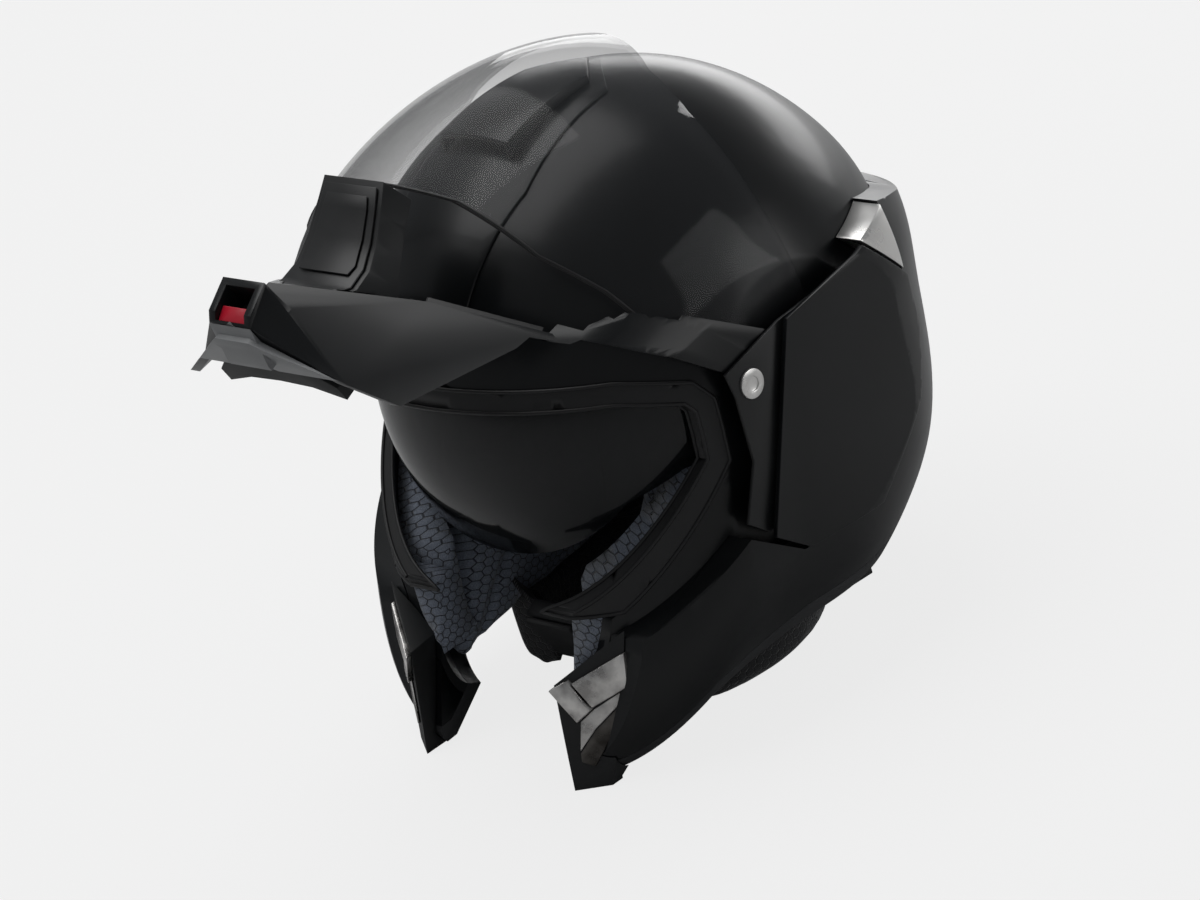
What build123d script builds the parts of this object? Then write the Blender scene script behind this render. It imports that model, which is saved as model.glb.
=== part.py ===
from build123d import *
import os
from math import cos, radians, sin, sqrt, tan

# Modular motorcycle helmet with its chin bar raised. X runs across (the wearer's left is +X),
# -Y is ahead and Z is up, in millimetres, with the surface that it stands on at Z = 0.

# Head shell
crown_radius = 122.0
crown_half_width = 112.0
shell_wall = 4.0
fit_gap = 0.4
liner_thickness = 22.0
comfort_thickness = 8.0
cheek_foam_thickness = 6.0

# Painted lower shell, its rim, the pods on its sides and the rubber edge of the eye port
cover_proud = 3.4
rim_height = 8.0
panel_gap = 1.5
gasket_width = 9.0
gasket_proud = 1.0

# Hinge pack inside each pod, from the shell outwards
running_gap = 1.2
ear_thickness = 2.4
arm_thickness = 3.3
arm_reach_over = 16.0
base_thickness = 1.8
bolt_head_height = 1.6
plate_thickness = 2.4
chin_axle_radius = 6.0
hub_radius = 16.0
visor_eye_radius = 11.0
shaft_clearance = 0.05
post_radius = 4.5
base_screw_radius = 3.2
hinge_bolt_radius = 9.0
ring_radius = 6.5
ring_height = 1.4

# Chin bar
opening_angle = 67.0
arm_relief_angles = (0.0, 5.0, 9.0, 13.0, 18.0)
chin_wall = 3.5
nose_half_width = 13.5
wing_sweep = 33.3
wing_lean = 11.0
latch_plate_thickness = 2.2
latch_gap = 1.0
hook_thickness = 1.5
vent_cover_thickness = 1.4
vent_slide_thickness = 0.8
button_half_width = 9.0
lip_depth = 21.0
lip_height = 4.0
seal_thickness = 0.8

# Visors
visor_thickness = 1.8
visor_gap = 3.5
sun_thickness = 2.0
sun_gap = 3.0
sun_pin_radius = 3.0
pin_head_radius = 6.0
slide_width = 9.0

# Crown vent
hood_wall = 2.0
hood_tilt = 5.0
surround_proud = 1.2

# Soft parts and the chin strap
neck_roll_height = 34.0
neck_roll_width = 22.0
soft_gap = 0.3
strap_width = 24.0
strap_thickness = 2.0
rivet_radius = 5.0
buckle_height = 9.0
lever_thickness = 3.0

cut_over = 60.0
flat_share = 0.946
station_shares = (-1.0, -0.88, -0.68, -0.4, 0.0, 0.4, 0.68, 0.88, 1.0)

# The hinge's place, in shares of the crown's radius behind the origin and above the ground
hinge_back_share = 0.2657
hinge_above_share = 1.156
hinge_y = hinge_back_share * crown_radius
hinge_z = hinge_above_share * crown_radius
hinge_place = (hinge_y, hinge_z)

# Each row: degrees round the hinge from straight ahead upwards, reach share, fullness
crown_reach_shares = (
    (0, 1.0, 2.15), (17, 0.967, 2.15), (35, 0.975, 2.1), (60, 0.992, 2.1), (90, 1.0, 2.1),
    (120, 1.025, 2.1), (145, 1.045, 2.1), (167, 1.06, 2.1), (185, 1.02, 2.1), (205, 1.02, 2.2),
    (225, 1.055, 2.4), (245, 1.09, 2.5), (270, 1.15, 2.6), (290, 1.22, 2.6), (302, 1.32, 2.6),
    (312, 1.42, 2.6), (325, 1.22, 2.5), (342, 1.05, 2.3),
)
cover_reach_shares = (
    (0, 1.02, 2.2), (17, 0.99, 2.2), (35, 1.0, 2.2), (60, 1.02, 2.2), (90, 1.04, 2.2),
    (120, 1.07, 2.2), (145, 1.09, 2.2), (167, 1.115, 2.2), (185, 1.06, 2.2), (205, 1.075, 2.3),
    (225, 1.115, 2.5), (245, 1.17, 2.5), (270, 1.23, 2.6), (290, 1.29, 2.6), (302, 1.42, 2.6),
    (312, 1.6, 2.6), (325, 1.31, 2.5), (342, 1.1, 2.3),
)

# Side-view outlines: (ahead of the hinge, above the hinge) as shares of the crown's radius
face_opening_shares = (
    (1.6, 0.4), (0.926, 0.303), (0.648, 0.246), (0.434, 0.156), (0.385, 0.074), (0.393, -0.041),
    (0.41, -0.156), (0.869, -0.582), (0.902, -0.697), (1.066, -1.09), (1.107, -1.6), (1.8, -1.6),
    (1.8, 0.4),
)
gasket_reach_shares = ((1.2, 0.6), (-0.2, 0.6), (-0.2, -0.3), (0.82, -0.56), (1.2, -0.56))
rim_shares = (
    (1.4, -1.156), (1.008, -1.139), (0.713, -0.943), (0.254, -0.893), (-0.639, -0.959),
    (-1.3, -0.992), (-1.3, -2.0), (1.4, -2.0),
)
cover_outline_shares = (
    (1.066, -1.09), (0.902, -0.697), (0.885, -0.639), (0.5, -0.41), (0.434, -0.459),
    (0.279, -0.574), (-0.115, -0.615), (-0.434, -0.352), (-0.566, -0.131), (-0.566, 0.074),
    (-0.598, 0.328), (-0.762, 0.27), (-0.91, 0.205), (-1.172, 0.123), (-1.7, 0.05),
    (-1.7, -2.0), (1.1, -2.0),
)
pod_shares = (
    (0.426, -0.451), (0.09, 0.246), (-0.361, 0.303), (-0.566, 0.074), (-0.566, -0.131),
    (-0.434, -0.352), (-0.115, -0.615), (0.279, -0.574),
)
accent_shares = ((-0.361, 0.303), (-0.598, 0.328), (-0.566, 0.074))
base_outline_shares = (
    (0.385, 0.172), (0.09, 0.23), (-0.2, 0.24), (-0.36, 0.06), (-0.32, -0.2), (-0.05, -0.4),
    (0.2, -0.46), (0.41, -0.43), (0.484, -0.361), (0.377, -0.172), (0.369, 0.074),
)
post_shares = ((-0.2, 0.14), (-0.24, -0.12), (-0.02, -0.3), (0.2, -0.38))
ring_place_share = (0.29, 0.09)
liner_floor_shares = ((1.3, -0.83), (-1.4, -0.83), (-1.4, -2.0), (1.3, -2.0))
crown_liner_shares = ((1.4, 0.16), (0.2, -0.03), (-1.4, -0.3), (-1.4, 1.4), (1.4, 1.4))
chin_gap_share = 0.36
chin_gap_top_share = -0.3

# Visors: side-view outlines, and half of each cross-section
visor_axis_share = (0.213, -0.172)
visor_outline_shares = (
    (0.82, 1.049), (0.754, 0.967), (0.721, 0.77), (0.619, 0.598), (0.549, 0.426), (0.459, 0.254),
    (0.09, -0.01), (0.0, -0.088), (-0.088, 0.0), (-0.107, 0.27), (-0.107, 0.623), (-0.131, 0.885),
    (-0.189, 1.008), (-0.328, 1.074), (-0.5, 1.3), (0.3, 1.7), (1.0, 1.25),
)
visor_section_shares = (
    (0.0, 1.344), (0.369, 1.238), (0.615, 1.066), (0.705, 0.967), (0.795, 0.836),
    (0.849, 0.721), (0.884, 0.623), (0.892, 0.5),
)
sun_section_shares = (0.0, 0.25, 0.45, 0.62, 0.76, 0.86, 0.93)
sun_fullness = 2.15
sun_outline_shares = (
    (0.0, -0.11), (0.3, -0.17), (0.495, -0.164), (0.664, -0.23), (0.8, -0.434), (1.3, -0.7),
    (1.6, 0.2), (0.8, 1.0), (0.35, 0.6), (0.0, 0.11),
)
sun_sweep_shares = (
    (0.0, -0.17), (0.3, -0.24), (0.55, -0.24), (0.74, -0.34), (0.8, -0.56), (1.6, -0.56),
    (1.6, 1.6), (-0.6, 1.6), (-0.17, 0.0),
)
slider_shares = ((0.02, -0.914), (-0.16, -0.928), (-0.16, -0.956), (0.02, -0.942))
slider_place_share = 0.68

# Chin bar in its closed place, and the cheek ends that it closes on
nose_place_share = (1.385, -1.135)
chin_outline_shares = (
    (1.5, -0.959), (1.107, -0.684), (0.861, -0.578), (0.845, -0.598), (0.9, -0.63),
    (0.915, -0.69), (1.08, -1.09), (1.369, -1.143), (1.6, -1.143),
)
nose_outline_shares = ((1.345, -0.95), (1.5, -0.959), (1.47, -1.08), (1.44, -1.108), (1.345, -1.108))
nose_plate_shares = ((1.27, -1.111), (1.44, -1.111), (1.29, -1.153), (1.27, -1.153))
flare_low_shares = ((0.08, 1.36), (0.11, 1.44), (0.37, 1.19))
flare_high_shares = ((0.1, 1.46), (0.11, 1.49), (0.113, 1.47))
lip_front_shares = ((1.4, -1.3), (1.4, -1.0), (0.5, -1.0), (0.5, -1.3))
nose_recess_shares = ((1.385, -0.98), (1.52, -0.985), (1.52, -1.1), (1.385, -1.1))
button_shares = ((1.415, -1.055), (1.46, -1.045), (1.44, -1.097), (1.415, -1.097))
core_plan_shares = (
    (0.0, 1.41), (0.115, 1.311), (0.311, 1.152), (0.311, 1.09), (0.164, 1.131), (0.0, 1.139),
)
core_outline_shares = (
    (1.42, -0.9), (1.221, -0.762), (1.164, -0.73), (1.05, -0.73), (1.05, -1.107), (1.42, -1.107),
)
visor_swing_share = 1.316
tongue_rows_share = (
    (-0.94, 1.43, 0.12, 0.16), (-0.915, 1.385, 0.145, 0.19), (-0.88, 1.335, 0.168, 0.225),
    (-0.83, 1.277, 0.188, 0.265), (-0.762, 1.236, 0.199, 0.292), (-0.68, 1.232, 0.193, 0.285),
    (-0.59, 1.264, 0.182, 0.268), (-0.5, 1.312, 0.17, 0.25), (-0.402, 1.369, 0.156, 0.23),
)
vent_cover_rows_share = (
    (-0.88, 1.335, 0.148, 0.148), (-0.83, 1.277, 0.168, 0.168), (-0.762, 1.236, 0.175, 0.175),
    (-0.68, 1.232, 0.17, 0.17), (-0.59, 1.264, 0.16, 0.16), (-0.5, 1.312, 0.148, 0.148),
    (-0.425, 1.3556, 0.137, 0.137),
)
vent_slider_rows_share = (
    (-0.72, 1.234, 0.13, 0.13), (-0.68, 1.232, 0.135, 0.135), (-0.59, 1.264, 0.125, 0.125),
    (-0.5, 1.312, 0.115, 0.115), (-0.46, 1.335, 0.105, 0.105),
)
seal_outline_shares = ((1.09, -0.655), (0.861, -0.558), (0.861, -0.608), (1.09, -0.705))
arm_shares = ((0.9, -0.6), (0.631, -0.451), (0.549, -0.402), (0.549, -0.25), (0.877, -0.45))
arm_tab_shares = ((0.76, -0.49), (0.93, -0.56), (0.96, -0.66), (0.9, -0.64), (0.8, -0.57))
arm_tab_inner_share = 0.705
arm_root_shares = ((0.57, -0.41), (0.02, -0.13), (-0.02, 0.13), (0.57, -0.24))
cheek_low_shares = ((0.508, 1.16), (0.402, 1.25), (0.385, 0.943), (0.525, 0.877))
cheek_high_shares = ((0.64, 1.0), (0.361, 1.2), (0.393, 0.91), (0.645, 0.828))
cheek_top_share = -0.56
cheek_tail_shares = ((1.008, -1.145), (0.713, -0.95), (0.5, -0.95), (0.5, -1.3), (1.008, -1.3))
cheek_slant_shares = ((0.2, -0.883), (0.361, -0.779), (0.664, -0.582), (1.0, -0.36), (1.0, 0.4), (0.2, 0.4))
latch_plate_shares = ((0.42, -0.77), (0.64, -0.63), (0.6, -0.8), (0.5, -0.84), (0.42, -0.81))
latch_ledge_shares = ((0.42, -0.83), (0.49, -0.86), (0.48, -0.91), (0.41, -0.88))
latch_shield_shares = ((0.51, -0.87), (0.6, -0.83), (0.56, -1.0), (0.5, -1.11), (0.47, -1.0))
hook_shares = ((0.43, -0.94), (0.46, -0.93), (0.46, -1.02), (0.43, -1.02))

# Crown vent: plan outlines of (across, ahead of the hinge)
surround_plan_shares = ((0.205, 0.808), (0.295, 0.45), (0.246, -0.07), (0.0, -0.279))
hood_plan_shares = ((0.18, 0.372), (0.164, -0.07), (0.0, -0.228))
intake_plan_shares = ((0.1, 0.3), (0.09, 0.2))

# Soft parts
cheek_pad_shares = (
    (0.861, -0.73), (0.918, -0.951), (0.779, -1.107), (0.508, -1.057), (0.221, -0.951),
    (-0.025, -0.811), (-0.123, -0.5), (-0.041, -0.156), (0.352, -0.156), (0.467, -0.303),
    (0.795, -0.615),
)
pad_depth_shares = ((0.36, 0.62), (0.41, 0.86), (0.49, 0.97), (0.6, 1.0), (0.8, 0.97))
pad_middle_share = (0.42, -0.6)
pad_front_share = 0.012
pad_room_share = 1.02
neck_ring_share = (0.59, 0.6)
neck_middle_share = 0.2
neck_front_share = 0.5
strap_anchor_share = (0.607, 0.156, -0.648)
strap_bottom_share = (0.598, -0.877)
buckle_span_share = (-0.18, 0.115)
lever_span_share = (-0.15, 0.08)


def side_point(ahead, above):
    """Y and Z of a point given in shares of the crown's radius from the hinge."""
    return (hinge_y - ahead * crown_radius, hinge_z + above * crown_radius)


def side_face(shares):
    """A flat side-view outline on the X = 0 plane."""
    corners = [side_point(ahead, above) for ahead, above in shares]
    return make_face(Plane.YZ * Polyline(*corners, close=True))


def across(face, low=None, high=None):
    """A side-view face drawn out along X, right through or from low to high."""
    if low is None:
        return extrude(face, amount=crown_half_width + cut_over, both=True)
    return Pos(low, 0, 0) * extrude(face, amount=high - low, dir=(1, 0, 0))


def side_prism(shares, low=None, high=None):
    return across(side_face(shares), low, high)


def front_prism(shares):
    """A front-view outline of (across, above) shares drawn right through along Y."""
    corners = [(x * crown_radius, hinge_z + above * crown_radius) for x, above in shares]
    face = make_face(Plane.XZ * Polyline(*corners, close=True))
    return extrude(face, amount=2 * crown_radius, both=True)


def plan_face(shares, above=0.0):
    """A level outline of (across, ahead) shares at a height above the hinge."""
    corners = [(x * crown_radius, hinge_y - ahead * crown_radius) for x, ahead in shares]
    return Pos(0, 0, hinge_z + above * crown_radius) * make_face(Polyline(*corners, close=True))


def mirrored_plan(shares):
    """The whole of an outline whose left half is given, ahead first."""
    return shares + tuple((-x, ahead) for x, ahead in reversed(shares) if x > 0)


def top_prism(shares):
    """A plan outline, mirrored, drawn upwards from the hinge's level."""
    return extrude(plan_face(mirrored_plan(shares)), amount=2 * crown_radius, dir=(0, 0, 1))


def envelope(rows, half_width, inset, reach_inset=None):
    """A closed egg: one curve round the hinge per station across the width."""
    width = half_width - inset
    if reach_inset is None:
        reach_inset = inset
    faces = []
    for station in station_shares:
        spread = abs(station) * flat_share
        corners = []
        for direction, reach_share, fullness in rows:
            full_reach = crown_radius * reach_share - reach_inset
            reach = full_reach * (1 - spread**fullness) ** (1 / fullness)
            angle = radians(direction)
            corners.append((hinge_y - reach * cos(angle), hinge_z + reach * sin(angle)))
        curve = Spline(*corners, periodic=True)
        faces.append(make_face(Plane.YZ.offset(station * flat_share * width) * curve))
    return loft(faces)


# Places across the width, from the crown's flat side outwards
floor_x = flat_share * crown_half_width
ear_inner = floor_x + running_gap
ear_outer = ear_inner + ear_thickness
arm_inner = ear_outer + 1.5 * running_gap
arm_outer = arm_inner + arm_thickness
base_inner = arm_outer + running_gap / 2
base_outer = base_inner + base_thickness
plate_inner = base_outer + bolt_head_height + fit_gap
plate_outer = plate_inner + plate_thickness
cover_half_width = (plate_outer - cover_proud) / flat_share


def crown_body(inset):
    return envelope(crown_reach_shares, crown_half_width, inset)


def cover_body(inset):
    return envelope(cover_reach_shares, cover_half_width, inset)


def cover_layer(inner_x, outer_x, reach_over=0.0):
    """A curved layer that lies between two places across the width at the pods."""
    bodies = []
    for place in (inner_x, outer_x):
        inset = cover_half_width - place / flat_share
        bodies.append(envelope(cover_reach_shares, cover_half_width, inset, inset - reach_over))
    return bodies[1] - bodies[0]


def largest(shape):
    """The main solid of a cut, without the slivers beside it."""
    return shape.solids().sort_by(SortBy.VOLUME)[-1]


def other_side(shape):
    return mirror(shape, about=Plane.YZ)


def both_sides(shape):
    return shape + other_side(shape)


def about_hinge(shape, angle):
    """A shape turned about the hinge, lifting what lies ahead of it."""
    return Pos(0, hinge_y, hinge_z) * Rot(X=-angle) * Pos(0, -hinge_y, -hinge_z) * shape


def raised(shape):
    """A piece of the chin bar carried from its closed place to the open one."""
    return about_hinge(shape, opening_angle)


def axle(radius, low, high, place=(0, 0)):
    """A round pin along X at a place given in shares from the hinge."""
    y, z = side_point(*place)
    return Pos((low + high) / 2, y, z) * Rot(Y=90) * Cylinder(radius, high - low)


def beyond(low):
    """Everything on the wearer's left from a place across the width."""
    size = 4 * crown_radius
    return Pos(low + size / 2, 0, 0) * Box(size, 2 * size, 2 * size)


def turned(half_section, place):
    """The solid that a mirrored cross-section of (across, reach) corners makes about an axis."""
    end_x, end_reach = half_section[-1]
    section = [(-x, reach) for x, reach in reversed(half_section[1:])] + list(half_section)
    outline = Spline(*section)
    foot = Polyline((end_x, end_reach), (end_x, 0), (-end_x, 0), (-end_x, end_reach))
    return Pos(0, *place) * revolve(make_face(outline + foot), axis=Axis.X)


def inset_section(section, inset):
    """A cross-section moved inwards, square to itself."""
    moved = []
    for index, (x, reach) in enumerate(section):
        before = section[max(index - 1, 0)]
        after = section[min(index + 1, len(section) - 1)]
        along_x, along_reach = after[0] - before[0], after[1] - before[1]
        length = sqrt(along_x**2 + along_reach**2)
        shift_x = 0 if index == 0 else inset * along_reach / length
        moved.append((x + shift_x, reach - inset * along_x / length if index else reach - inset))
    return moved


def visor_section(inset):
    rows = [(x * crown_radius, reach * crown_radius) for x, reach in visor_section_shares]
    moved = inset_section(rows, inset)
    return moved[:-1] + [(ear_outer - inset, moved[-1][1])]


def sun_section(inset):
    reach_now = crown_radius * crown_reach_shares[1][1] - shell_wall - sun_gap - inset
    half_now = crown_half_width - shell_wall - sun_gap - inset
    rows = []
    for share in sun_section_shares:
        reach = reach_now * (1 - share**sun_fullness) ** (1 / sun_fullness)
        rows.append((share * half_now, reach))
    return rows


sun_ear_outer = sun_section(0)[-1][0]
visor_axis = side_point(*visor_axis_share)

# Bodies that several pieces are cut from
face_prism = side_prism(face_opening_shares)
rim_prism = side_prism(rim_shares)
rim_step = Pos(0, 0, rim_height) * rim_prism
crown_solid = crown_body(0)
crown_grown = crown_body(-fit_gap)
crown_inside = crown_body(shell_wall)
cover_solid = cover_body(0)
surround_solid = crown_body(-surround_proud)


def chin_gap():
    """The open space between the two cheek ends."""
    front_y, top_z = side_point(0, chin_gap_top_share)
    size = 4 * crown_radius
    return Pos(0, front_y - size / 2, top_z - size / 2) * Box(2 * chin_gap_share * crown_radius, size, size)


front_room = face_prism + chin_gap()


# Shells
def crown_shell():
    intake = top_prism(intake_plan_shares)
    return crown_solid - crown_inside - front_room - rim_step - intake


def lower_shell():
    body = (cover_solid - crown_grown) & side_prism(cover_outline_shares)
    return body - rim_step - chin_gap()


def rim_trim():
    band = rim_step - rim_prism - front_room
    return (cover_solid - crown_inside) & (Pos(0, 0, -fit_gap / 2) * band)


def eye_port_gasket():
    """A rubber band along the edge of the eye port, from one cheek over the brow to the other."""
    opening = side_face(face_opening_shares)
    band = opening - offset(opening, -gasket_width)
    skin = crown_body(-gasket_proud) - crown_body(shell_wall + fit_gap)
    return skin & across(band) & side_prism(gasket_reach_shares)


# Crown vent
def vent_surround():
    flush = (surround_solid - crown_grown) & top_prism(surround_plan_shares)
    return flush - top_prism(intake_plan_shares)


def vent_hood():
    """The raised hood over the intake: its mouth stands open ahead and its tail lies flat."""
    tail_ahead = hood_plan_shares[-1][1]
    tail_y, tail_z = side_point(tail_ahead, sqrt(1 - tail_ahead**2))
    tail = Pos(0, tail_y, tail_z)
    lifted = tail * Rot(X=-hood_tilt) * tail.inverse() * crown_body(-surround_proud - hood_wall)
    hollow = tail * Rot(X=-hood_tilt) * tail.inverse() * surround_solid
    shape = top_prism(hood_plan_shares)
    inner = Pos(0, -2 * hood_wall, 0) * drawn_in(hood_plan_shares)
    body = (lifted & shape) - (hollow & inner)
    return body - crown_body(-surround_proud - fit_gap)


def drawn_in(shares):
    """A plan prism drawn in by the hood's wall at its sides and tail."""
    narrower = tuple(
        (x - hood_wall / crown_radius if x > 0 else 0, ahead + 2 * hood_wall / crown_radius * (x == 0))
        for x, ahead in shares
    )
    return top_prism(narrower)


# Foam and fabric inside the shell
def sun_sweep():
    """The room that the sun visor needs on its way up."""
    hub = axle(hub_radius + running_gap, -crown_half_width, crown_half_width)
    return side_prism(sun_sweep_shares) + hub


def sun_slot():
    """The layer that the sun visor swings in."""
    return sun_sweep() - turned(sun_section(sun_thickness + running_gap), hinge_place)


def rivet_holes():
    across_share, ahead, above = strap_anchor_share
    return both_sides(axle(rivet_radius + fit_gap, 0, crown_half_width, (ahead, above)))


def foam_liner():
    outside = crown_body(shell_wall + fit_gap)
    inside = crown_body(shell_wall + liner_thickness)
    foam = outside - inside - front_room - side_prism(liner_floor_shares)
    foam = foam - both_sides(pad_form(pad_room_share) & crown_body(shell_wall + cheek_foam_thickness))
    foam = foam - sun_slot() - rivet_holes() - cheek_blocks()
    return largest(foam - both_sides(axle(pin_head_radius + running_gap, 0, sun_ear_outer)))


def crown_liner():
    outside = crown_body(shell_wall + liner_thickness + fit_gap)
    inside = crown_body(shell_wall + liner_thickness + comfort_thickness)
    return (outside - inside - face_prism) & side_prism(crown_liner_shares)


def pad_form(scale=1.0):
    """The left cheek's cushion, which swells towards the face and is drawn in at its edge."""
    middle_y, middle_z = side_point(*pad_middle_share)
    sections = []
    for depth_share, size_share in pad_depth_shares:
        corners = []
        for ahead, above in cheek_pad_shares:
            y, z = side_point(ahead, above)
            size = scale * size_share
            corners.append((middle_y + size * (y - middle_y), middle_z + size * (z - middle_z)))
        plane = Plane.YZ.offset(depth_share * crown_radius)
        sections.append(make_face(plane * Spline(*corners, periodic=True)))
    return loft(sections)


def cheek_pad():
    pad = pad_form() & crown_body(shell_wall + cheek_foam_thickness + soft_gap)
    pad = pad - (Pos(0, pad_front_share * crown_radius, 0) * face_prism) - (Pos(0, 0, soft_gap) * rim_step)
    pad = pad - sun_slot() - Pos(0, soft_gap, 0) * cheek_blocks() - rivet_holes()
    return largest(pad - strap_band(strap_thickness + 2 * soft_gap, strap_width + 2 * soft_gap))


def neck_roll():
    wide_share, long_share = neck_ring_share
    wide, long = wide_share * crown_radius, long_share * crown_radius
    outer = Ellipse(wide, long)
    inner = Ellipse(wide - neck_roll_width, long - neck_roll_width)
    ring = extrude(outer - inner, amount=neck_roll_height)
    ring = fillet(ring.edges(), neck_roll_width * 0.36)
    middle_y = hinge_y - neck_middle_share * crown_radius
    front_y = hinge_y - neck_front_share * crown_radius
    size = 4 * crown_radius
    return (Pos(0, middle_y, 0) * ring) - Pos(0, front_y - size / 2, 0) * Box(size, size, size)


# Visors
def visor():
    """The clear visor in its raised place: a curved sheet with an ear at each end."""
    sheet = turned(visor_section(0), visor_axis) - turned(visor_section(visor_thickness), visor_axis)
    eye = axle(visor_eye_radius, ear_inner, ear_outer)
    body = (sheet & side_prism(visor_outline_shares)) + both_sides(eye)
    hole = axle(chin_axle_radius + shaft_clearance, 0, crown_half_width)
    return body - both_sides(hole)


def sun_visor():
    sheet = turned(sun_section(0), hinge_place) - turned(sun_section(sun_thickness), hinge_place)
    body = sheet & side_prism(sun_outline_shares)
    hub = axle(hub_radius, sun_ear_outer - sun_thickness, sun_ear_outer)
    hole = axle(sun_pin_radius + shaft_clearance, 0, crown_half_width)
    return body + both_sides(hub) - both_sides(hole)


def sun_visor_pins():
    shell_inside = flat_share * (crown_half_width - shell_wall)
    inner = sun_ear_outer - sun_thickness - fit_gap
    shaft = axle(sun_pin_radius, inner, shell_inside)
    head = axle(pin_head_radius, inner - sun_thickness, inner)
    return both_sides(shaft + head)


def sun_slider():
    """The thumb slider under the left rim that swings the sun visor."""
    low = slider_place_share * crown_radius
    return side_prism(slider_shares, low, low + slide_width)


# Hinge packs
def hinge_base():
    plate = side_prism(base_outline_shares, base_inner, base_outer)
    for place in post_shares:
        plate = plate + axle(post_radius, floor_x, base_inner, place)
    return plate


def hinge_axles():
    return both_sides(axle(chin_axle_radius, floor_x, base_inner))


def hinge_bolts():
    return both_sides(axle(hinge_bolt_radius, base_outer, base_outer + bolt_head_height))


def base_screws():
    heads = Part()
    for place in post_shares:
        heads = heads + both_sides(axle(base_screw_radius, base_outer, base_outer + bolt_head_height, place))
    return heads


def ring_screws():
    ring = axle(ring_radius, base_outer, base_outer + ring_height, ring_place_share)
    dish = axle(ring_radius / 2, base_outer + ring_height / 2, base_outer + ring_height, ring_place_share)
    return both_sides(ring - dish)


def side_plate():
    outline = offset(side_face(pod_shares), -panel_gap)
    return cover_layer(plate_inner, plate_outer) & across(outline, 0, plate_outer)


def pod_accents():
    outline = offset(side_face(accent_shares), -panel_gap / 2)
    skin = cover_body(-panel_gap) - crown_grown
    return both_sides(skin & across(outline, 0, plate_outer + panel_gap))


# Chin bar, made closed and then raised
def wing_slab(near, far):
    """The layer between two depths behind the outer face of the left wing."""
    y, z = side_point(*nose_place_share)
    slope = tan(radians(wing_sweep))
    lean = tan(radians(wing_lean))
    plane = Plane(origin=(nose_half_width, y, z), x_dir=(1, slope, 0), z_dir=(slope, -1, lean))
    size = 4 * crown_radius
    return (plane * Pos(0, 0, -(near + far) / 2) * Box(size, size, far - near)) & beyond(0)


def level_slab(low, high):
    """The layer between two heights above the chin bar's lower edge."""
    base_y, base_z = side_point(*chin_outline_shares[-1])
    size = 4 * crown_radius
    return Pos(0, 0, base_z + (low + high) / 2) * Box(size, size, high - low)


chin_prism = side_prism(chin_outline_shares)
nose_room = side_prism(nose_outline_shares, -nose_half_width, nose_half_width)


def chin_shell():
    low = plan_face(flare_low_shares, nose_outline_shares[-1][1])
    high = plan_face(flare_high_shares, nose_outline_shares[1][1])
    wings = both_sides(wing_slab(0, chin_wall) & chin_prism) - level_slab(-lip_height, lip_height)
    wings = wings + both_sides(loft([low, high], ruled=True))
    recess = side_prism(nose_recess_shares, -button_half_width - fit_gap, button_half_width + fit_gap)
    return raised(wings + nose_room - recess)


def lower_lip():
    cheek_x = cheek_low_shares[2][0] * crown_radius - latch_gap
    flange = (wing_slab(0, lip_depth) - beyond(cheek_x)) + wing_slab(0, chin_wall)
    band = level_slab(0, lip_height - fit_gap)
    nose_plate = side_prism(nose_plate_shares, -nose_half_width, nose_half_width)
    return raised(both_sides(flange & band & chin_prism & side_prism(lip_front_shares)) + nose_plate)


def chin_core():
    core = extrude(plan_face(mirrored_plan(core_plan_shares), core_outline_shares[-1][1]), amount=crown_radius)
    inner = both_sides(wing_slab(-lip_depth, chin_wall + fit_gap))
    core = (core & side_prism(core_outline_shares)) - nose_room - inner
    tongue = vent_tongue()
    for x, y in ((0, -fit_gap), (0, fit_gap), (-fit_gap, 0), (fit_gap, 0)):
        core = core - Pos(x, y, 0) * tongue
    return raised(largest(core))


def seal_lip():
    """The soft strip along the wings' top edge, which the closed visor meets."""
    strip = wing_slab(chin_wall, chin_wall + seal_thickness) & side_prism(seal_outline_shares)
    return raised(both_sides(strip))


def visor_room():
    """The dome that the raised visor closes round, with a margin at its edges."""
    outline = offset(side_face(visor_outline_shares), hub_radius)
    return turned(visor_section(-2 * fit_gap), visor_axis) & across(outline)


def chin_arm():
    """The left hinge arm, from the hub in the pod to the wing."""
    outline = side_prism(arm_shares, 0, plate_outer) + side_prism(arm_root_shares, 0, plate_outer)
    arm = cover_layer(arm_inner, arm_outer, arm_reach_over) & outline
    hub = axle(hub_radius, arm_inner, arm_outer)
    hole = axle(chin_axle_radius + shaft_clearance, 0, plate_outer)
    behind = chin_wall + fit_gap
    tab = wing_slab(behind, behind + arm_thickness) & side_prism(arm_tab_shares)
    tab = tab & beyond(arm_tab_inner_share * crown_radius)
    arm = raised((arm + hub + tab) - hole - wing_slab(-lip_depth, behind))
    room = visor_room()
    for angle in arm_relief_angles:
        arm = arm - about_hinge(room, angle)
    return largest(arm)


def tongue_level(row, front_from=0.0, front_to=0.0):
    """One level outline of the vent tongue, or of a layer on its front."""
    above, ahead, front_half, back_half = row
    drop = above * crown_radius
    back = ahead * crown_radius + front_from
    if front_to == 0:
        back = sqrt((visor_swing_share * crown_radius + visor_gap) ** 2 - drop**2)
    front = ahead * crown_radius + front_to
    corners = [
        (front_half * crown_radius, hinge_y - front),
        (back_half * crown_radius, hinge_y - back),
        (-back_half * crown_radius, hinge_y - back),
        (-front_half * crown_radius, hinge_y - front),
    ]
    return Pos(0, 0, hinge_z + drop) * make_face(Polyline(*corners, close=True))


def vent_tongue():
    return loft([tongue_level(row) for row in tongue_rows_share], ruled=True)


def wing_room():
    """What the wings take up at the tongue's foot, with a gap round them."""
    return both_sides(wing_slab(-fit_gap, chin_wall + fit_gap) & (Pos(0, 0, fit_gap) * chin_prism))


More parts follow.
